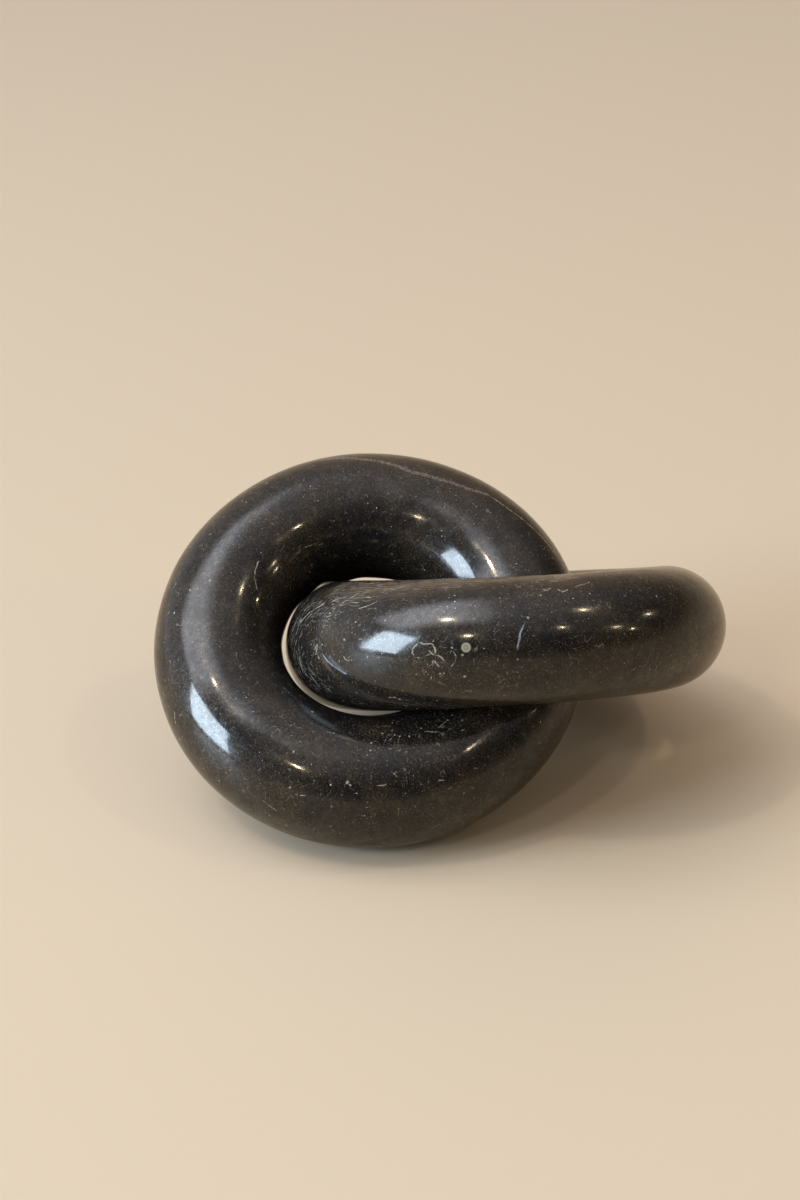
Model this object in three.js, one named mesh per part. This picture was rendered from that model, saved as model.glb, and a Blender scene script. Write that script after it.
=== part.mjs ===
// Marble chain link sculpture: two closed stone rings, one running through the other, lying on a table.
// Each ring leans on its own edge, and the two rest against each other like a pair of cards.
// Millimetres and degrees. +X runs from the left link to the right one, +Y points back, +Z up.
import * as THREE from "three";

// Sizes of the stone. Each hole is wider by its play than the other link's stone, which runs through it.
const leftWidth = 120; // across the whole left link
const rightThickness = 33.4; // across the right link's round section
const leftHolePlay = 15.6;
const rightHolePlay = 21.3;

// How the two lie on the table, seen from above and from the side.
const rightSetBack = 6.2; // right link's centre, further back than the left link's
const leftTurn = -0.6; // the left link's low edge, turned from straight in front
const rightTurn = 6.8; // the right link's low edge, turned from straight behind
const leanDifference = 1.8; // how much more steeply the left link leans
const linkClearance = 0.3; // the least gap between the two stones

// The line that the right link tips up about, as two places on the right link's middle line. Both are
// counted in degrees from its left end towards its low edge. The stone there stays in the left link's hole.
const tipLineStart = -10;
const tipLineEnd = 60;
const tipLineInset = 4; // how far the start lies inside the middle line
const tipRange = 120;

// Facets round a link and round its section.
const facetsRoundLink = 64;
const facetsRoundSection = 32;

// How finely the rest position is worked out: places round a middle line, millimetres and degrees.
const stepsRoundMiddleLine = 720;
const spacingPrecision = 0.001;
const leanPrecision = 0.0001;
const steepestLean = 45;

const stone = new THREE.MeshStandardMaterial({ color: 0x24211f, roughness: 0.22, metalness: 0 });

// The left link's stone fills what its hole leaves of its width, and the right link's hole follows from that.
const leftHole = rightThickness + leftHolePlay;
const leftThickness = (leftWidth - leftHole) / 2;
const rightHole = leftThickness + rightHolePlay;

const leftLink = ringOfStone("left_link", leftHole, leftThickness);
const rightLink = ringOfStone("right_link", rightHole, rightThickness);

// A link by the radius of its round section and the radius of the circle that the section runs along.
function ringOfStone(name, hole, thickness) {
  return { name, sectionRadius: thickness / 2, ringRadius: (hole + thickness) / 2 };
}

// A link that stands on its low edge: its centre, its axis, the way down its slope and the level way across.
function standing(link, lean, lowEdgeBearing, x, y) {
  const slope = THREE.MathUtils.degToRad(lean);
  const bearing = THREE.MathUtils.degToRad(lowEdgeBearing);
  const outward = new THREE.Vector3(Math.cos(bearing), Math.sin(bearing), 0);
  const up = new THREE.Vector3(0, 0, 1);
  const axis = up.clone().multiplyScalar(Math.cos(slope)).addScaledVector(outward, Math.sin(slope));
  const down = outward.clone().multiplyScalar(Math.cos(slope)).addScaledVector(up, -Math.sin(slope));
  const height = link.sectionRadius + link.ringRadius * Math.sin(slope);
  const centre = new THREE.Vector3(x, y, height);
  return { link, slope, centre, axis, down, across: axis.clone().cross(down) };
}

// Both links at a middle lean, with their centres a given way apart along X.
function pairAt(lean, spacing) {
  return {
    left: standing(leftLink, lean + leanDifference / 2, -90 + leftTurn, 0, 0),
    right: standing(rightLink, lean - leanDifference / 2, 90 + rightTurn, spacing, rightSetBack),
  };
}

// A point of a link's middle line, as an angle from its low edge towards the level way across.
function onMiddleLine(placed, angle, radius = placed.link.ringRadius) {
  return placed.centre
    .clone()
    .addScaledVector(placed.down, radius * Math.cos(angle))
    .addScaledVector(placed.across, radius * Math.sin(angle));
}

// The least gap between the stones: how near the right link's middle line comes to the left link's.
function gapBetween({ left, right }) {
  const across = new THREE.Vector3();
  let nearest = Infinity;
  for (let step = 0; step < stepsRoundMiddleLine; step++) {
    across.copy(onMiddleLine(right, (step / stepsRoundMiddleLine) * 2 * Math.PI)).sub(left.centre);
    const off = across.dot(left.axis);
    const out = Math.sqrt(across.lengthSq() - off * off) - left.link.ringRadius;
    nearest = Math.min(nearest, Math.hypot(off, out));
  }
  return nearest - left.link.sectionRadius - right.link.sectionRadius;
}

// The spacing with the widest gap at this lean, by narrowing a range in thirds.
function bestSpacing(lean) {
  let low = rightLink.ringRadius - leftLink.ringRadius;
  let high = rightLink.ringRadius + leftLink.ringRadius;
  while (high - low > spacingPrecision) {
    const third = (high - low) / 3;
    const nearer = gapBetween(pairAt(lean, low + third));
    const further = gapBetween(pairAt(lean, high - third));
    if (nearer < further) low += third;
    else high -= third;
  }
  return (low + high) / 2;
}

// Gravity flattens the pair until the stones meet, so the rest lean is the least that keeps the clearance.
function atRest() {
  let low = 0;
  let high = steepestLean;
  while (high - low > leanPrecision) {
    const lean = (low + high) / 2;
    if (gapBetween(pairAt(lean, bestSpacing(lean))) < linkClearance) low = lean;
    else high = lean;
  }
  return pairAt(high, bestSpacing(high));
}

// One facet in the middle of the low edge is exactly level, so the link stands on a flat face.
function makeLink(placed) {
  const { link, slope, centre, axis, down, across } = placed;
  const halfFacet = Math.PI / facetsRoundLink;
  const lowestAngle = Math.atan2(-Math.cos(slope), Math.sin(slope) * Math.cos(halfFacet));
  const section = [];
  for (let corner = 0; corner <= facetsRoundSection; corner++) {
    const angle = lowestAngle + ((corner % facetsRoundSection) + 0.5) * ((2 * Math.PI) / facetsRoundSection);
    const out = link.ringRadius + link.sectionRadius * Math.cos(angle);
    section.push(new THREE.Vector2(out, link.sectionRadius * Math.sin(angle)));
  }
  const geometry = new THREE.LatheGeometry(section, facetsRoundLink, -halfFacet);
  const mesh = new THREE.Mesh(geometry, stone.clone());
  mesh.name = link.name;
  mesh.quaternion.setFromRotationMatrix(new THREE.Matrix4().makeBasis(across, axis, down));
  mesh.position.copy(centre);
  mesh.position.z -= new THREE.Box3().setFromObject(mesh, true).min.z;
  return mesh;
}

const { left, right } = atRest();
const sculpture = new THREE.Group();
sculpture.name = "marble_chain_link_sculpture";
sculpture.add(makeLink(left), makeLink(right));

// The origin is on the table, under the middle of the pair.
const origin = new THREE.Box3().setFromObject(sculpture, true).getCenter(new THREE.Vector3()).setZ(0);
for (const mesh of sculpture.children) mesh.position.sub(origin);

// The right link's tipping line and both feet, in the same frame as the meshes.
const fromLeftEnd = (degrees) => THREE.MathUtils.degToRad(90 - degrees);
const tipStart = onMiddleLine(right, fromLeftEnd(tipLineStart), rightLink.ringRadius - tipLineInset);
const tipEnd = onMiddleLine(right, fromLeftEnd(tipLineEnd));
const tableLevel = new THREE.Vector3(1, 1, 0);
sculpture.userData = {
  tipping: {
    point: tipStart.clone().sub(origin).toArray(),
    axis: tipStart.clone().sub(tipEnd).normalize().toArray(),
    range: [0, tipRange],
  },
  leftFoot: onMiddleLine(left, 0).sub(origin).multiply(tableLevel).toArray(),
  rightFoot: onMiddleLine(right, 0).sub(origin).multiply(tableLevel).toArray(),
};

export default sculpture;
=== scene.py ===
import math

import bpy
import numpy as np
from mathutils import Matrix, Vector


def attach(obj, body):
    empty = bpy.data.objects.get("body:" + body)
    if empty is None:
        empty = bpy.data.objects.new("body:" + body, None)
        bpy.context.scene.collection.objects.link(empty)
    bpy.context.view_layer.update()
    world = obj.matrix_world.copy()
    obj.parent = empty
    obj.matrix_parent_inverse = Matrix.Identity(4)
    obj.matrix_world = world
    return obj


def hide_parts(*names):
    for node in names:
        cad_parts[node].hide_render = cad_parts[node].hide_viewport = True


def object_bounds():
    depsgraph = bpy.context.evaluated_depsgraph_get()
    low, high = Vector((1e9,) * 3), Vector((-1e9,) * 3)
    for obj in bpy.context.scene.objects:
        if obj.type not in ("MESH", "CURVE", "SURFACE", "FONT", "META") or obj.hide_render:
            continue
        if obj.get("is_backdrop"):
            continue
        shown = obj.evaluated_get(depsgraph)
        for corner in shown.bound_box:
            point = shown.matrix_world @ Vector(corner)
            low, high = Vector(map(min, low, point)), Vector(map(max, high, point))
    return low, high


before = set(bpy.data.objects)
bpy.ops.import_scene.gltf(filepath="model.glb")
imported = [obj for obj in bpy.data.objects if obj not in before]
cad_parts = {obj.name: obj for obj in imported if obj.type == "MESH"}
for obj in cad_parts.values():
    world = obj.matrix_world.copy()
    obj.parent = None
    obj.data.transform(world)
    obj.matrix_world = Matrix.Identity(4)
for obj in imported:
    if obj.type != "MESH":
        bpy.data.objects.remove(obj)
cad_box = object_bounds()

# Both links are closed rings with a round section, carved from one block of black marble, then ground and
# polished by hand. That leaves shallow flats and swells on them, and a small worn flat where each stands.

STEPS_ALONG = 440
STEPS_AROUND = 220

# The waves of the hand-ground surface: how many there are, half the typical height that they would reach
# together if none were lowered, and how many fit along and around the ring at most. A wave's length over
# 2 pi counts as LONGEST_WAVE at most, and a wave shorter than FULL_WAVE is lowered. Both are in metres.
WAVES = 90
WAVE_HEIGHT = 0.00003
MOST_ALONG = 26
MOST_AROUND = 11
LONGEST_WAVE = 0.05
FULL_WAVE = 0.0035


class Link:
    """A ring where its CAD node lies. Angles along it start at its rightmost point and run anticlockwise
    seen from above. Angles around its section start at the outside and rise over the top. Both are in
    degrees."""

    def __init__(self, node, seed, along_seam, swells, ovals=()):
        corners = np.empty(len(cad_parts[node].data.vertices) * 3)
        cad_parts[node].data.vertices.foreach_get("co", corners)
        corners = np.unique(corners.reshape(-1, 3).round(7), axis=0)
        self.centre = corners.mean(0)
        offsets = corners - self.centre
        self.axis = np.linalg.svd(offsets, full_matrices=False)[2][2]
        self.axis *= np.sign(self.axis[2])
        rightward = np.array([1.0, 0.0, 0.0])
        self.across = rightward - self.axis * rightward.dot(self.axis)
        self.across /= np.linalg.norm(self.across)
        self.onward = np.cross(self.axis, self.across)
        self.ring_radius, self.section_radius = self.radii(offsets)
        self.seed = seed
        self.seams = np.array([along_seam, -135.0])
        self.swells = swells
        self.ovals = ovals

    def radii(self, offsets):
        """Both radii, from distances out q and up h: q² + h² = 2 R q + (r² - R²) holds on every corner."""
        up = offsets @ self.axis
        out = np.linalg.norm(offsets - up[:, None] * self.axis, axis=1)
        (double, rest), *_ = np.linalg.lstsq(np.c_[out, np.ones_like(out)], out**2 + up**2, rcond=None)
        return double / 2, math.sqrt(rest + double**2 / 4)

    def height(self, along, around):
        """Height above the true ring: waves cos(m along + n around + phase), lower the shorter they are,
        plus a soft bell for each place that was left fuller or ground slimmer, as (along, around, spread,
        height), and a bell along the ring times mean - swing cos(2 (around - low side)) where its section
        is oval, as (along, spread, mean, swing, low side). A bell is e to the power -(away / spread)²."""
        random = np.random.default_rng(self.seed)
        total = np.zeros(np.broadcast(along, around).shape)
        for _ in range(WAVES):
            m = random.integers(-MOST_ALONG, MOST_ALONG + 1)
            n = random.integers(0, MOST_AROUND + 1)
            length = 1 / math.hypot(m / self.ring_radius, n / self.section_radius, 1 / LONGEST_WAVE)
            share = min(1.0, (length / FULL_WAVE) ** 2.5)
            phase = random.uniform(0, 2 * math.pi)
            total += share * np.cos(m * np.radians(along) + n * np.radians(around) + phase)
        total *= WAVE_HEIGHT / math.sqrt(WAVES / 8)
        for centre_along, centre_around, spread, swell in self.swells:
            away = np.hypot(self.turn(along - centre_along), self.turn(around - centre_around) / 2)
            total += swell * np.exp(-((away / spread) ** 2))
        for centre_along, spread, mean, swing, low_side in self.ovals:
            bell = np.exp(-((self.turn(along - centre_along) / spread) ** 2))
            total += bell * (mean - swing * np.cos(2 * np.radians(around - low_side)))
        return total

    @staticmethod
    def turn(degrees):
        """The same turn between -180 and 180 degrees."""
        return (degrees + 180) % 360 - 180

    def surface(self, along, around):
        """Points of the carved surface: the middle line's point plus (radius + height) along the normal.
        The foot is worn flat at the table."""
        along, around = np.broadcast_arrays(np.asarray(along, float), np.asarray(around, float))
        radius = self.section_radius + self.height(along, around)
        a, b = np.radians(along)[..., None], np.radians(around)[..., None]
        outward = np.cos(a) * self.across + np.sin(a) * self.onward
        points = self.centre + self.ring_radius * outward
        points = points + radius[..., None] * (np.cos(b) * outward + np.sin(b) * self.axis)
        points[..., 2] = np.maximum(points[..., 2], 0.0)
        return points

    def flow(self, along, around):
        """The same place on the unrolled surface, in metres along the ring and around its section."""
        turned = np.radians((np.array([along, around]) - self.seams) % 360)
        return (turned[0] * self.ring_radius, turned[1] * self.section_radius, 0.0)


def ring_piece(name, link):
    """A grid of surface points, closed both ways, with a map of its unrolled surface called flow."""
    i, j = np.mgrid[0:STEPS_ALONG, 0:STEPS_AROUND]
    points = link.surface(link.seams[0] + 360 * i / STEPS_ALONG, link.seams[1] + 360 * j / STEPS_AROUND)
    next_i, next_j = (i + 1) % STEPS_ALONG, (j + 1) % STEPS_AROUND
    quads = np.stack([i * STEPS_AROUND + j, next_i * STEPS_AROUND + j,
                      next_i * STEPS_AROUND + next_j, i * STEPS_AROUND + next_j], -1)
    mesh = bpy.data.meshes.new(name)
    mesh.from_pydata(points.reshape(-1, 3), [], quads.reshape(-1, 4).tolist())
    around_ring = 2 * math.pi * link.ring_radius / STEPS_ALONG
    around_section = 2 * math.pi * link.section_radius / STEPS_AROUND
    corner_i = np.stack([i, i + 1, i + 1, i], -1) * around_ring
    corner_j = np.stack([j, j, j + 1, j + 1], -1) * around_section
    flow_map = mesh.uv_layers.new(name="flow")
    flow_map.data.foreach_set("uv", np.stack([corner_i, corner_j], -1).ravel())
    mesh.shade_smooth()
    piece = bpy.data.objects.new(name, mesh)
    bpy.context.scene.collection.objects.link(piece)
    return piece


# The stone is a black limestone marble. Crumbs, fibres and shell show cream and white in it, and brown
# clouds run through it. It is polished to a clear gloss, with tiny pits and a faint haze of fine polishing
# marks. Its patterns are worked out in millimetres.

TO_MILLIMETRES = 1000.0


def add_node(tree, kind, *values, **settings):
    """A node with its settings. Its inputs, in order, are joined to a socket or set to a value."""
    node = tree.nodes.new("ShaderNode" + kind)
    for name, setting in settings.items():
        setattr(node, name, setting)
    for socket, value in zip(node.inputs, values):
        feed(tree, socket, value)
    return node


def feed(tree, socket, value):
    """Joins a socket to an output, or sets its value. None leaves it as it is."""
    if isinstance(value, bpy.types.NodeSocket):
        tree.links.new(value, socket)
    elif value is not None:
        socket.default_value = value


def maths(tree, operation, *values):
    return add_node(tree, "Math", *values, operation=operation).outputs[0]


def vectors(tree, operation, *values):
    node = add_node(tree, "VectorMath", *values[:2], operation=operation)
    if len(values) > 2:
        feed(tree, node.inputs["Scale"], values[2])
    return node.outputs["Value" if operation in ("DOT_PRODUCT", "LENGTH", "DISTANCE") else "Vector"]


def ease(tree, value, start, end, low=0.0, high=1.0):
    """Goes smoothly from low to high as the value goes from start to end, and stays there. A smooth step
    ends by itself, so it needs no clamp."""
    kind = {"interpolation_type": "SMOOTHSTEP", "clamp": False}
    return add_node(tree, "MapRange", value, start, end, low, high, **kind).outputs[0]


def mix_colours(tree, amount, first, second, blend_type="MIX"):
    node = add_node(tree, "Mix", data_type="RGBA", blend_type=blend_type)
    for socket, value in zip((node.inputs[0], node.inputs[6], node.inputs[7]), (amount, first, second)):
        feed(tree, socket, value)
    return node.outputs[2]


def paint(tree, colour, mask, strength, pigment):
    """The colour with a pigment over it where the mask is."""
    return mix_colours(tree, maths(tree, "MULTIPLY", mask, strength), colour, (*pigment, 1.0))


def noise(tree, position, size, detail=2.0, roughness=0.5):
    """Noise from 0 to 1 whose lumps are about the given size in millimetres."""
    node = add_node(tree, "TexNoise", position)
    feed(tree, node.inputs["Scale"], size if isinstance(size, bpy.types.NodeSocket) else 1.0 / size)
    node.inputs["Detail"].default_value = detail
    node.inputs["Roughness"].default_value = roughness
    return node.outputs["Fac"]


def drift(tree, position, size, reach):
    """A position moved by up to about reach, by three noises whose lumps are about size wide."""
    lumps = add_node(tree, "TexNoise", position)
    lumps.inputs["Scale"].default_value = 1.0 / size
    centred = vectors(tree, "SUBTRACT", lumps.outputs["Color"], (0.5, 0.5, 0.5))
    return vectors(tree, "ADD", position, vectors(tree, "SCALE", centred, None, 2 * reach))


def comb(tree, flow, centre, radius):
    """Coordinates along and across polishing marks that run straight on the right of a centre and bend
    round it on its left. There the place across is the distance from the centre, and the place along is
    the angle times radius."""
    part = add_node(tree, "SeparateXYZ", vectors(tree, "SUBTRACT", flow, centre)).outputs
    left_part = maths(tree, "MINIMUM", part[0], -0.001)
    right_part = maths(tree, "MAXIMUM", part[0], 0.0)
    across = vectors(tree, "LENGTH", add_node(tree, "CombineXYZ", left_part, part[1], 0.0).outputs[0])
    bend = maths(tree, "MULTIPLY", maths(tree, "ARCTAN2", left_part, part[1]), radius)
    straight = maths(tree, "MULTIPLY", maths(tree, "SIGN", part[1]), right_part)
    return add_node(tree, "CombineXYZ", maths(tree, "ADD", bend, straight), across, 0.0).outputs[0]


def most(tree, masks):
    """The highest of several masks, or 0 without any. Masks made one by one are joined one by one, since a
    material that keeps too many values at once renders black."""
    highest = None
    for mask in masks:
        highest = mask if highest is None else maths(tree, "MAXIMUM", highest, mask)
    return 0.0 if highest is None else highest


def new_group(name, inputs, outputs):
    """An empty node group. Inputs and outputs are pairs of a name and a socket type, such as Float."""
    tree = bpy.data.node_groups.new(name, "ShaderNodeTree")
    for side, sockets in (("INPUT", inputs), ("OUTPUT", outputs)):
        for socket_name, kind in sockets:
            tree.interface.new_socket(socket_name, in_out=side, socket_type="NodeSocket" + kind)
    entry = tree.nodes.new("NodeGroupInput").outputs
    exits = tree.nodes.new("NodeGroupOutput").inputs
    return tree, entry, exits


def use_group(tree, group, **values):
    """Places a node group. Inputs are given by name, with _ for a space."""
    node = tree.nodes.new("ShaderNodeGroup")
    node.node_tree = group
    for name, value in values.items():
        feed(tree, node.inputs[name.replace("_", " ")], value)
    return node.outputs


def crumbs_group():
    """Scattered crumbs: one in each cell out of a Share of the cells, which are Spacing wide. A crumb is up
    to Size cells in radius, with a strength of its own."""
    tree, entry, exits = new_group(
        "crumbs", [("Position", "Vector"), ("Spacing", "Float"), ("Size", "Float"), ("Share", "Float")],
        [("Mask", "Float")])
    cells = add_node(tree, "TexVoronoi", entry["Position"])
    feed(tree, cells.inputs["Scale"], maths(tree, "DIVIDE", 1.0, entry["Spacing"]))
    chance = add_node(tree, "SeparateXYZ", cells.outputs["Color"]).outputs
    present = maths(tree, "LESS_THAN", chance[0], entry["Share"])
    size = maths(tree, "MULTIPLY", entry["Size"], maths(tree, "MULTIPLY_ADD", chance[1], 0.65, 0.35))
    inside = ease(tree, cells.outputs["Distance"], size, maths(tree, "MULTIPLY", size, 0.5))
    strength = maths(tree, "MULTIPLY_ADD", chance[2], 0.75, 0.25)
    feed(tree, exits["Mask"], maths(tree, "MULTIPLY", maths(tree, "MULTIPLY", present, strength), inside))
    return tree


def threads_group():
    """Short curved threads. One noise crosses its middle value along curved lines, which show up to Width
    away from it. A second noise keeps the stretches where it is over a limit, which falls from 0.74 to 0.54
    as Often rises from 0 to 1."""
    tree, entry, exits = new_group(
        "threads", [("Position", "Vector"), ("Size", "Float"), ("Width", "Float"), ("Often", "Float")],
        [("Mask", "Float")])
    scale = maths(tree, "DIVIDE", 1.0, entry["Size"])
    off = maths(tree, "ABSOLUTE", maths(tree, "SUBTRACT", noise(tree, entry["Position"], scale, 0.0), 0.5))
    line = ease(tree, off, entry["Width"], maths(tree, "MULTIPLY", entry["Width"], 0.4))
    elsewhere = vectors(tree, "ADD", entry["Position"], (31.0, 17.0, 53.0))
    kept = noise(tree, elsewhere, maths(tree, "MULTIPLY", scale, 1.15), 0.0)
    limit = maths(tree, "MULTIPLY_ADD", entry["Often"], -0.20, 0.74)
    kept = ease(tree, maths(tree, "SUBTRACT", kept, limit), 0.0, 0.05)
    feed(tree, exits["Mask"], maths(tree, "MULTIPLY", line, kept))
    return tree


def stroke_group():
    """A straight mark from Start to End: the distance to the nearest point of that stretch, under Width."""
    tree, entry, exits = new_group(
        "stroke", [("Position", "Vector"), ("Start", "Vector"), ("End", "Vector"), ("Width", "Float")],
        [("Mask", "Float")])
    whole = vectors(tree, "SUBTRACT", entry["End"], entry["Start"])
    here = vectors(tree, "SUBTRACT", entry["Position"], entry["Start"])
    length = vectors(tree, "DOT_PRODUCT", whole, whole)
    share = maths(tree, "DIVIDE", vectors(tree, "DOT_PRODUCT", here, whole), length)
    share = maths(tree, "MAXIMUM", maths(tree, "MINIMUM", share, 1.0), 0.0)
    away = vectors(tree, "DISTANCE", here, vectors(tree, "SCALE", whole, None, share))
    core = maths(tree, "MULTIPLY", entry["Width"], 0.3)
    feed(tree, exits["Mask"], ease(tree, away, entry["Width"], core))
    return tree


def round_mark_group():
    """A ring of Radius round Centre, whose band is Width wide and fades at its edge. Radius 0 is a disc."""
    tree, entry, exits = new_group(
        "round_mark",
        [("Position", "Vector"), ("Centre", "Vector"), ("Radius", "Float"), ("Width", "Float"),
         ("Edge", "Float")],
        [("Mask", "Float")])
    away = vectors(tree, "DISTANCE", entry["Position"], entry["Centre"])
    off = maths(tree, "ABSOLUTE", maths(tree, "SUBTRACT", away, entry["Radius"]))
    inner = maths(tree, "SUBTRACT", entry["Width"], entry["Edge"])
    feed(tree, exits["Mask"], ease(tree, off, entry["Width"], inner))
    return tree


CRUMBS = crumbs_group()
THREADS = threads_group()
STROKE = stroke_group()
ROUND_MARK = round_mark_group()


def black_marble_group():
    """The stone by Position, in millimetres in the block, and Flow, along and across its polishing marks.
    Rich adds shell, Brushed adds pale polishing marks, Dusty leaves the polish brown and dull, and Vein,
    Thread, Shell and Scratch are masks of a link's own marks."""
    tree, entry, exits = new_group(
        "black_marble",
        [("Position", "Vector"), ("Flow", "Vector"), ("Rich", "Float"), ("Brushed", "Float"),
         ("Dusty", "Float"), ("Vein", "Float"), ("Thread", "Float"), ("Shell", "Float"),
         ("Scratch", "Float")],
        [("Colour", "Color"), ("Roughness", "Float"), ("Haze", "Float"), ("Relief", "Float")])
    position = entry["Position"]
    bent = drift(tree, position, 2.4, 0.5)
    ragged = drift(tree, bent, 0.55, 0.17)

    def crumbs(where, spacing, size, share):
        return use_group(tree, CRUMBS, Position=where, Spacing=spacing, Size=size, Share=share)[0]

    def threads(where, size, width, often):
        return use_group(tree, THREADS, Position=where, Size=size, Width=width, Often=often)[0]

    # The dark ground: black with brown clouds and brown smoke, broken up by a fine grain.
    clouds = ease(tree, noise(tree, position, 15.0, 3.0, 0.6), 0.42, 0.64)
    smoke = ease(tree, noise(tree, bent, 3.4, 3.0, 0.65), 0.42, 0.66)
    brown = maths(tree, "MULTIPLY_ADD", clouds, 0.62, maths(tree, "MULTIPLY", smoke, 0.38))
    colour = mix_colours(tree, brown, (0.0052, 0.0052, 0.0054, 1), (0.019, 0.0142, 0.0092, 1))
    grain = ease(tree, noise(tree, position, 0.45, 2.0, 0.7), 0.36, 0.66, 0.35, 2.2)
    colour = mix_colours(tree, 1.0, colour, grain, "MULTIPLY")

    # Where the stone holds more shell, its crumbs and threads lie closer.
    patches = ease(tree, noise(tree, position, 9.0, 2.0), 0.42, 0.64, 0.0, 0.6)
    rich = maths(tree, "MAXIMUM", patches, entry["Rich"])
    clusters = ease(tree, noise(tree, position, 3.4, 2.0), 0.40, 0.62, 0.1, 1.7)
    clustered = maths(tree, "MULTIPLY", rich, clusters)

    flour = ease(tree, noise(tree, position, 0.5, 1.0), 0.60, 0.70)
    flour = maths(tree, "MULTIPLY", flour, maths(tree, "MULTIPLY_ADD", rich, 0.5, 0.26))
    colour = paint(tree, colour, flour, 0.62, (0.125, 0.113, 0.092))
    fine_threads = threads(bent, 1.35, 0.034, maths(tree, "MULTIPLY_ADD", rich, 0.40, 0.30))
    long_threads = threads(position, 2.6, 0.022, maths(tree, "MULTIPLY_ADD", rich, 0.30, 0.18))
    thread = most(tree, [fine_threads, long_threads])
    colour = paint(tree, colour, thread, 0.42, (0.22, 0.196, 0.158))
    specks = crumbs(ragged, 1.0, 0.22, maths(tree, "MULTIPLY_ADD", clustered, 0.38, 0.08))
    colour = paint(tree, colour, specks, 0.7, (0.40, 0.37, 0.31))
    chips = crumbs(ragged, 2.3, 0.12, maths(tree, "MULTIPLY_ADD", clustered, 0.45, 0.25))
    colour = paint(tree, colour, chips, 1.0, (0.72, 0.70, 0.66))

    # Polishing marks lie close together, pale on the black and brown where the polish is dull.
    flow = drift(tree, entry["Flow"], 4.0, 0.9)
    dull = maths(tree, "MULTIPLY", entry["Dusty"], 0.9)
    brushed = maths(tree, "MAXIMUM", entry["Brushed"], dull)
    strokes = most(tree, [
        threads(vectors(tree, "MULTIPLY", flow, stretch), 1.0, width,
                maths(tree, "MULTIPLY", brushed, often))
        for stretch, width, often in (((0.11, 1.7, 1.0), 0.065, 0.95), ((0.16, 2.7, 1.0), 0.085, 0.9),
                                      ((0.08, 1.0, 1.0), 0.04, 0.8))])
    strokes = maths(tree, "MULTIPLY", strokes, ease(tree, brushed, 0.02, 0.45))
    streaks = noise(tree, vectors(tree, "MULTIPLY", flow, (0.20, 1.5, 1.0)), 1.0, 3.0, 0.7)
    dust = maths(tree, "MULTIPLY", entry["Dusty"], ease(tree, streaks, 0.38, 0.60, 0.15, 1.2))
    colour = paint(tree, colour, dust, 0.6, (0.105, 0.080, 0.056))
    tint = mix_colours(tree, dull, (0.35, 0.33, 0.295, 1), (0.40, 0.32, 0.215, 1))
    colour = mix_colours(tree, maths(tree, "MULTIPLY", strokes, 0.55), colour, tint)

    # The link's own marks.
    broken = ease(tree, noise(tree, position, 1.3, 2.0), 0.34, 0.56, 0.2, 1.0)
    fluffy = ease(tree, noise(tree, ragged, 0.7, 2.0, 0.7), 0.38, 0.6, 0.1, 1.0)
    colour = paint(tree, colour, maths(tree, "MULTIPLY", entry["Vein"], fluffy), 0.7, (0.21, 0.165, 0.135))
    colour = paint(tree, colour, maths(tree, "MULTIPLY", entry["Scratch"], broken), 0.8, (0.28, 0.31, 0.35))
    colour = paint(tree, colour, maths(tree, "MULTIPLY", entry["Thread"], fluffy), 0.9, (0.42, 0.375, 0.31))
    colour = paint(tree, colour, entry["Shell"], 0.75, (0.33, 0.32, 0.25))
    feed(tree, exits["Colour"], colour)

    pits = crumbs(position, 1.05, 0.17, 0.26)
    small_pits = crumbs(bent, 0.7, 0.15, 0.16)
    pale = most(tree, [specks, chips, entry["Shell"]])
    roughness = ease(tree, noise(tree, position, 17.0, 3.0, 0.6), 0.3, 0.7, 0.07, 0.10)
    cloudy = ease(tree, noise(tree, bent, 4.5, 3.0, 0.65), 0.42, 0.60)
    roughness = maths(tree, "MULTIPLY_ADD", cloudy, 0.05, roughness)
    for mask, amount in ((pale, 0.12), (dust, 0.22), (brushed, 0.10), (strokes, 0.12), (pits, 0.35)):
        roughness = maths(tree, "MULTIPLY_ADD", mask, amount, roughness)
    feed(tree, exits["Roughness"], roughness)
    haze = ease(tree, noise(tree, position, 6.0, 3.0), 0.3, 0.7, 0.11, 0.36)
    mottle = ease(tree, noise(tree, ragged, 1.5, 3.0, 0.65), 0.38, 0.62, 0.5, 1.5)
    haze = maths(tree, "MULTIPLY", maths(tree, "MULTIPLY_ADD", brushed, 0.15, haze), mottle)
    scuffs = maths(tree, "MULTIPLY", threads(bent, 0.8, 0.10, 1.1),
                   ease(tree, noise(tree, position, 7.0, 2.0), 0.40, 0.60, 0.1, 0.6))
    feed(tree, exits["Haze"], maths(tree, "ADD", haze, scuffs))

    relief = maths(tree, "MULTIPLY", noise(tree, position, 1.4, 1.0), 0.09)
    relief = maths(tree, "MULTIPLY_ADD", noise(tree, position, 0.45, 0.0), 0.015, relief)
    for mask, amount in ((pits, -0.6), (small_pits, -0.2), (strokes, 0.12)):
        relief = maths(tree, "MULTIPLY_ADD", mask, amount, relief)
    feed(tree, exits["Relief"], relief)
    return tree


BLACK_MARBLE = black_marble_group()


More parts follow.
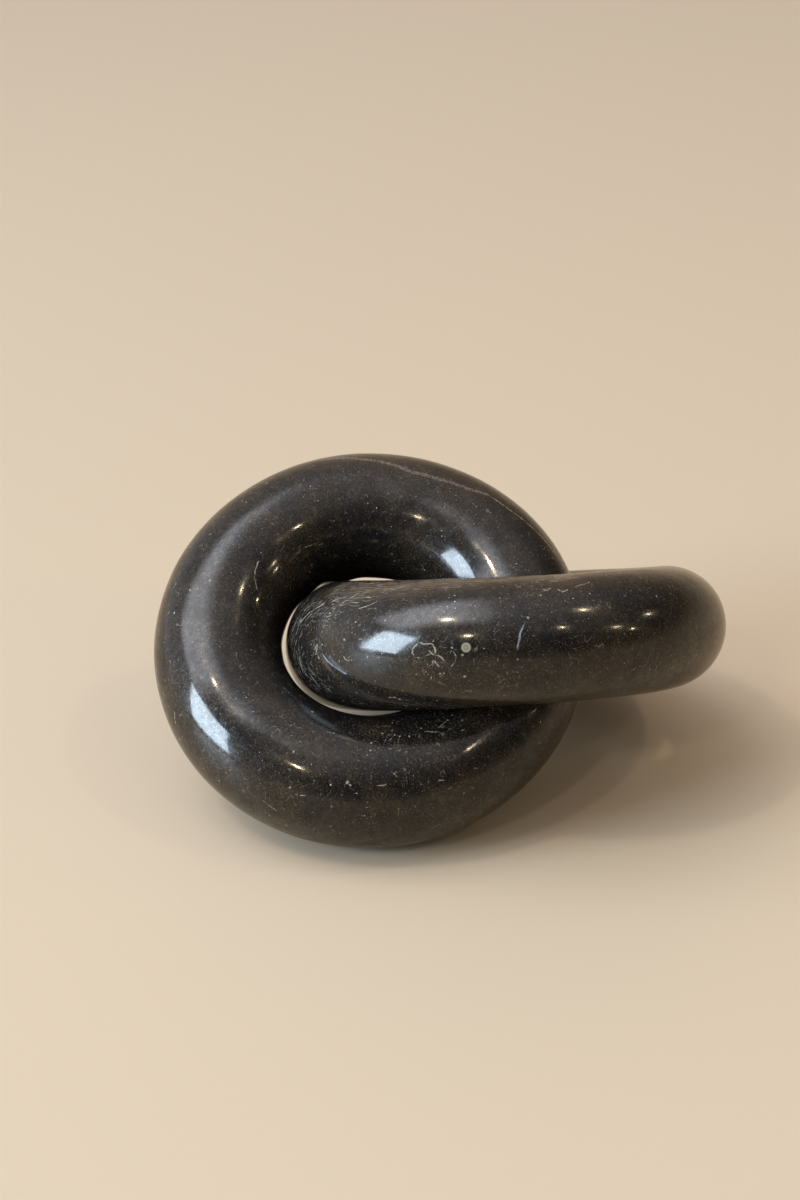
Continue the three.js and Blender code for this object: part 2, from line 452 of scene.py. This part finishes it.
def marble_material(name, link, rich, brushed=(), dusty=(), veins=(), threads=(), scratches=(), shells=(),
                    flecks=(), stems=(), swirl=None):
    """Polished black marble for one link. Rich, brushed and dusty list places (along, around, reach in
    millimetres). Veins, threads, scratches and cut shells are chains of (along, around) points with a half
    width in millimetres. Flecks are crumbs and stems are sea lily stems cut across, each (along, around,
    radius). The polishing marks run along the ring, or round the swirl (along, around, radius)."""
    material = bpy.data.materials.new(name)
    material.use_nodes = True
    tree = material.node_tree
    shader = tree.nodes["Principled BSDF"]
    in_block = add_node(tree, "TexCoord").outputs["Object"]
    position = vectors(tree, "SCALE", in_block, None, TO_MILLIMETRES)
    unrolled = add_node(tree, "UVMap", uv_map="flow").outputs[0]
    flow = vectors(tree, "SCALE", unrolled, None, TO_MILLIMETRES)
    wobbled = drift(tree, drift(tree, position, 2.0, 0.4), 0.6, 0.25)
    wobble = vectors(tree, "SCALE", vectors(tree, "SUBTRACT", wobbled, position), None, 0.55)
    wobbled_flow = vectors(tree, "ADD", flow, wobble)
    if swirl:
        centre = tuple(x * TO_MILLIMETRES for x in link.flow(*swirl[:2]))
        combed = comb(tree, flow, centre, swirl[2])
    else:
        combed = flow

    def round_mark(where, place, radius, width, edge):
        centre = tuple(float(x) * TO_MILLIMETRES for x in link.surface(*place))
        return use_group(tree, ROUND_MARK, Position=where, Centre=centre, Radius=radius, Width=width,
                         Edge=edge)[0]

    def near(places):
        return most(tree, (round_mark(position, place[:2], 0.0, place[2], place[2]) for place in places))

    def strokes(marks):
        for points, width in marks:
            spots = [tuple(x * TO_MILLIMETRES for x in link.flow(*point)) for point in points]
            for start, end in zip(spots[:-1], spots[1:]):
                yield use_group(tree, STROKE, Position=wobbled_flow, Start=start, End=end, Width=width)[0]

    def stem(place, radius):
        """A pale round with a darker ring in it."""
        whole = round_mark(position, place, 0.0, radius, 0.4)
        ring = round_mark(position, place, radius * 0.36, 0.34, 0.3)
        return maths(tree, "MULTIPLY_ADD", maths(tree, "MULTIPLY", whole, ring), -0.34, whole)

    worn = ease(tree, noise(tree, position, 1.1, 1.0), 0.34, 0.50, 0.15, 1.0)
    pale = [maths(tree, "MULTIPLY", most(tree, strokes(shells)), worn),
            most(tree, (round_mark(wobbled, place[:2], 0.0, place[2], place[2] * 0.5) for place in flecks)),
            most(tree, (stem(place[:2], place[2]) for place in stems))]
    stone = use_group(tree, BLACK_MARBLE, Position=position, Flow=combed, Rich=near(rich),
                      Brushed=near(brushed), Dusty=near(dusty), Vein=most(tree, strokes(veins)),
                      Thread=most(tree, strokes(threads)), Scratch=most(tree, strokes(scratches)),
                      Shell=most(tree, pale))
    bump = add_node(tree, "Bump")
    bump.inputs["Strength"].default_value = 1.0
    bump.inputs["Distance"].default_value = 0.00005
    feed(tree, bump.inputs["Height"], stone["Relief"])
    feed(tree, shader.inputs["Base Color"], stone["Colour"])
    feed(tree, shader.inputs["Roughness"], stone["Roughness"])
    feed(tree, shader.inputs["Coat Weight"], stone["Haze"])
    feed(tree, shader.inputs["Normal"], bump.outputs[0])
    shader.inputs["IOR"].default_value = 1.46
    shader.inputs["Coat Roughness"].default_value = 0.27
    return material


# The left link is the thicker ring. It leans towards the front, with its low edge nearest the viewer, and
# the right link runs through its hole. A hairline of pinkish calcite crosses the far side of its top.

left = Link("left_link", seed=11, along_seam=0.0, swells=[
    (-140, 10, 30, 0.0002), (30, 25, 28, 0.0006), (-125, 160, 34, 0.0002), (84, -150, 16, 0.00058),
    (106, -150, 7, 0.0006), (-153, 78, 6.5, 0.00015), (178, 112, 9, 0.00025),
    (123, -160, 7, -0.00065), (-108, 64, 6.5, 0.00015), (-60, 64, 6.5, 0.00012)])
left_link = ring_piece("left_marble_link", left)
left_link.data.materials.append(marble_material(
    "left_marble", left,
    rich=[(-77, 101, 15), (-60, 98, 9), (-68, 75, 8), (-85, 98, 12)],
    veins=[([(104, 46), (92, 59), (84, 65), (76, 73), (66, 72), (56, 68), (50, 60)], 0.95),
           ([(49, 59), (42, 57), (33, 49), (26, 42), (18, 32)], 0.4)],
    threads=[([(151, 114), (154, 115), (159, 118), (164, 125)], 0.26), ([(-154, 27), (-152, 21)], 0.22),
             ([(-118, 26), (-114, 22)], 0.2), ([(48, 59), (42, 57), (33, 49), (26, 42), (19, 33)], 0.22),
             ([(-82, 101), (-80.5, 103)], 0.17), ([(-67, 101.5), (-63, 96)], 0.17),
             ([(-62, 99.5), (-58, 101.5)], 0.17), ([(-87, 62), (-84.5, 62.3)], 0.17),
             ([(-108.6, 45), (-107.2, 46.5)], 0.17), ([(-106.5, 106), (-103.5, 107)], 0.18),
             ([(-81.5, 71), (-81, 68)], 0.17), ([(-69, 56.5), (-67.5, 55)], 0.17)],
    flecks=[(167, 82, 0.4), (171, 65, 0.35), (-115, 78, 0.45), (-89, 93, 0.4), (-96, 64, 0.55),
            (-95.2, 62, 0.45), (-112, 49, 0.4), (-88.4, 100, 0.4), (-84, 110, 0.35), (-79, 106, 0.3),
            (-77, 104, 0.3), (-73.5, 101, 0.36), (-68, 106, 0.35), (-65, 98, 0.36), (-57, 102, 0.35),
            (-117.5, 124, 0.42), (-54, 104, 0.3)]))
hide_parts("left_link")
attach(left_link, "left_link")

# The right link is thinner and wider. It leans towards the back, so its front edge is high, and its left
# end lies in the left link's hole. Polishing marks swirl round that end, and a cut shell and a sea lily's
# stem show in its front.

right = Link("right_link", seed=23, along_seam=90.0,
             swells=[(-40, 60, 16, 0.00035), (-78, 75, 14, -0.0003), (-12, 45, 25, 0.0006)],
             ovals=[(-165, 50, 0.00035, 0.0007, 15)])
right_link = ring_piece("right_marble_link", right)
right_link.data.materials.append(marble_material(
    "right_marble", right,
    rich=[(-150, 20, 24), (-84, 56, 12), (-53, 60, 14), (-110, -14, 7), (-63, 3, 5)],
    brushed=[(-163, 8, 11), (-161, 25, 10), (-157, 38, 9), (-150, 46, 9), (-142, 53, 10), (-160, -12, 11),
             (-153, -27, 9), (-147, 1, 4), (-170, 40, 9), (-135, 60, 9), (-144, 30, 6), (-147, -37, 5)],
    dusty=[(-150, 72, 9), (-143.5, 72, 9), (-137, 72, 10), (-130, 74, 10), (-123, 76, 10),
           (-115.5, 77, 9.5), (-108, 78, 9.5), (-100, 80, 8.5), (-92, 82, 8), (-83.5, 80, 7.5),
           (-75, 78, 8)],
    threads=[([(-160, 25), (-158, 29), (-156, 36), (-153, 41), (-150, 45)], 0.3),
             ([(-147, 47), (-144, 52)], 0.2), ([(-141, 46), (-139, 52), (-137, 58)], 0.24),
             ([(-133, 39), (-130, 42), (-128, 46)], 0.2), ([(-148, 79), (-144, 82)], 0.2),
             ([(-139, 73), (-135, 77)], 0.2), ([(-84, 67), (-79, 72)], 0.22), ([(-79, 64), (-77, 65)], 0.2),
             ([(-73, 53), (-68, 58)], 0.16), ([(-82, 52), (-81, 50), (-80, 53)], 0.24),
             ([(-78, 50), (-77, 47), (-75.5, 49)], 0.24), ([(-126, -49), (-124, -49)], 0.24),
             ([(-147.5, 2), (-146, -8)], 0.22)],
    scratches=[([(-144, -5), (-142.5, -10), (-140, -16), (-136.5, -22)], 0.3),
               ([(-88, 17), (-89.2, 8), (-90, -5)], 0.25)],
    shells=[([(-115.5, -4), (-115, 0), (-114, 3.5), (-113.2, 4.5), (-112.4, 3), (-111.5, 3), (-110.4, 3),
              (-109.7, 0), (-109.4, -4), (-109.8, -7), (-110.5, -5), (-111, -3)], 0.23),
            ([(-115.5, -4), (-115, -7)], 0.2), ([(-114.2, -8.6), (-113, -9.2)], 0.13),
            ([(-112, -7.6), (-111, -6)], 0.13),
            ([(-109.8, -7), (-108.6, -8), (-108, -10), (-107.4, -13)], 0.22),
            ([(-111.4, -16), (-110.6, -15), (-110.4, -12), (-109.9, -12), (-109.5, -15), (-108.9, -18)],
             0.18),
            ([(-107, -6), (-106, -4), (-105, -5), (-104.5, -9), (-105, -14), (-106, -18)], 0.13),
            ([(-136, -6), (-135.6, -8.6), (-134.6, -10), (-133.2, -9.6)], 0.17)],
    flecks=[(-83, 44, 0.4), (-87, 22, 0.45), (-66, 9, 0.4), (-103, -8, 0.4), (-103, -28, 0.5),
            (-112.5, -22, 0.3), (-112, -25, 0.28), (-111.5, -28, 0.3), (-109, -24, 0.36),
            (-108, -24, 0.26), (-115, -24, 0.26), (-110, 5, 0.25), (-105.3, -1, 0.3), (-135.5, 9, 0.4),
            (-144, 35, 0.4), (-128, -7, 0.3), (-155, -31, 0.4), (-90, -14, 0.3)],
    stems=[(-102, -1.5, 1.42)], swirl=(-138, 0, 26)))
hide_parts("right_link")
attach(right_link, "right_link")

# The floor is a plain pale board, far wider than the view. The camera sees it paler than the stone does, so
# that its light on the stone stays low and brown.

floor_half = 4.0
floor_corners = [(x * floor_half, y * floor_half, 0) for x, y in ((-1, -1), (1, -1), (1, 1), (-1, 1))]
floor_mesh = bpy.data.meshes.new("floor")
floor_mesh.from_pydata(floor_corners, [], [(0, 1, 2, 3)])
floor = bpy.data.objects.new("floor", floor_mesh)
bpy.context.scene.collection.objects.link(floor)
floor_finish = bpy.data.materials.new("pale_board")
floor_finish.use_nodes = True
floor_shader = floor_finish.node_tree.nodes["Principled BSDF"]
floor_tree = floor_finish.node_tree
seen_directly = add_node(floor_tree, "LightPath").outputs["Is Camera Ray"]
feed(floor_tree, floor_shader.inputs["Base Color"],
     mix_colours(floor_tree, seen_directly, (0.475, 0.375, 0.25, 1), (0.60, 0.508, 0.388, 1)))
floor_shader.inputs["Roughness"].default_value = 0.5
floor_shader.inputs["Specular IOR Level"].default_value = 0.4
floor_mesh.materials.append(floor_finish)
floor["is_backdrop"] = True

# Soft studio light: a bright window-like panel low on the left, a few small warm lamps, a bright patch of
# ceiling near the window, and a room that is bluish on the left, pale overhead and warm near the floor.


def direction(azimuth, elevation):
    """The way to a place by degrees clockwise from +Y and degrees up."""
    azimuth, elevation = math.radians(azimuth), math.radians(elevation)
    level = math.cos(elevation)
    return np.array([math.sin(azimuth) * level, math.cos(azimuth) * level, math.sin(elevation)])


def add_light(name, azimuth, elevation, width, height, radiance, distance=1.8, shape="RECTANGLE"):
    """An area light that faces the object. Its power is pi times its area times its radiance."""
    aim = np.array([0.0, 0.0, 0.04])
    way = direction(azimuth, elevation)
    light = bpy.data.lights.new(name, "AREA")
    light.shape = shape
    light.size = width
    light.size_y = height
    area = width * height * (math.pi / 4 if shape == "DISK" else 1)
    brightest = max(radiance)
    light.energy = math.pi * area * brightest
    light.color = [part / brightest for part in radiance]
    lamp = bpy.data.objects.new(name, light)
    side = np.cross([0.0, 0.0, 1.0], way)
    side /= np.linalg.norm(side)
    columns = np.c_[side, np.cross(way, side), way]
    matrix = np.eye(4)
    matrix[:3, :3] = columns
    matrix[:3, 3] = aim + distance * way
    lamp.matrix_world = Matrix(matrix.tolist())
    bpy.context.scene.collection.objects.link(lamp)


add_light("window", -111, 16.5, 0.72, 0.80, (13.4, 16.3, 19.1))
warm = np.array([1.0, 0.80, 0.52])
for number, (azimuth, elevation, size, strength) in enumerate((
        (97, 59.5, 0.065, 195), (114, 30, 0.045, 155), (108.5, 21, 0.04, 145), (-114, 59.5, 0.11, 130),
        (144.5, 46, 0.055, 145), (-153, 40.5, 0.09, 112), (86, 28, 0.04, 165))):
    add_light(f"lamp_{number}", azimuth, elevation, size, size, strength * warm, shape="DISK")

world = bpy.data.worlds.new("room")
bpy.context.scene.world = world
world.use_nodes = True
room = world.node_tree
way_out = add_node(room, "TexCoord").outputs["Generated"]


def glow(azimuth, elevation, spread, colour):
    """Light round a direction: its colour times e to the power of 2 (cos(angle away) - 1) / spread²."""
    cosine = vectors(room, "DOT_PRODUCT", way_out, tuple(direction(azimuth, elevation)))
    power = maths(room, "MULTIPLY_ADD", cosine, 2 / spread**2, -2 / spread**2)
    return mix_colours(room, 1.0, maths(room, "EXPONENT", power), (*colour, 1), "MULTIPLY")


def by_height(power, start, step, colour):
    """Light by how high the direction points: its colour times (start + step z) to a power."""
    rise = add_node(room, "SeparateXYZ", way_out).outputs[2]
    level = maths(room, "MAXIMUM", maths(room, "MULTIPLY_ADD", rise, step, start), 0.0)
    return mix_colours(room, 1.0, maths(room, "POWER", level, power), (*colour, 1), "MULTIPLY")


def ceiling_patch(place, half_size, fade, colour):
    """Light from a patch of a level ceiling. Its middle and half size are multiples of the ceiling's
    height, and along each side it fades from 1 - fade to 1 + fade times the half size."""
    part = add_node(room, "SeparateXYZ", way_out).outputs
    height = maths(room, "MAXIMUM", part[2], 0.02)
    share = 1.0
    for axis in range(2):
        off = maths(room, "SUBTRACT", maths(room, "DIVIDE", part[axis], height), place[axis])
        off = maths(room, "DIVIDE", maths(room, "ABSOLUTE", off), half_size[axis])
        share = maths(room, "MULTIPLY", share, ease(room, off, 1 + fade[axis], 1 - fade[axis]))
    return mix_colours(room, 1.0, share, (*colour, 1), "MULTIPLY")


surround = by_height(5.0, 1.0, -1.0, (0.37, 0.29, 0.19))
for light in (by_height(3.0, 0.0, 1.0, (0.72, 0.66, 0.65)),
              ceiling_patch((-0.90, 0.04), (0.66, 0.37), (0.35, 0.50), (3.2, 3.32, 3.6)),
              glow(-80, 5, 0.75, (0.62, 0.64, 0.70)), glow(-5, 25, 0.6, (0.42, 0.30, 0.20))):
    surround = mix_colours(room, 1.0, surround, light, "ADD")
seen = add_node(room, "LightPath").outputs["Is Camera Ray"]
backdrop = mix_colours(room, seen, surround, (0.76, 0.68, 0.57, 1))
feed(room, room.nodes["Background"].inputs["Color"], backdrop)

# The camera looks down on the pair from the front, a little to the left, at the photograph's angle.

camera_place = (-0.01316, -0.48327, 0.32730)
camera_turn, camera_drop, camera_roll = (math.radians(x) for x in (0.223, 29.781, 0.264))
ahead = direction(math.degrees(camera_turn), -math.degrees(camera_drop))
level_right = np.array([math.cos(camera_turn), -math.sin(camera_turn), 0.0])
level_up = np.cross(level_right, ahead)
right_way = math.cos(camera_roll) * level_right + math.sin(camera_roll) * level_up
up_way = math.cos(camera_roll) * level_up - math.sin(camera_roll) * level_right
camera_data = bpy.data.cameras.new("camera")
camera_data.lens = 60
camera_data.sensor_width = 36
camera_data.clip_start = 0.01
camera = bpy.data.objects.new("camera", camera_data)
pose = np.eye(4)
pose[:3, :3] = np.c_[right_way, up_way, -ahead]
pose[:3, 3] = camera_place
camera.matrix_world = Matrix(pose.tolist())
bpy.context.scene.collection.objects.link(camera)
bpy.context.scene.camera = camera
bpy.context.scene.view_settings.view_transform = "Standard"

boxes = {"cad": cad_box, "visual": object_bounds()}
{name: [list(corner) for corner in box] for name, box in boxes.items()}
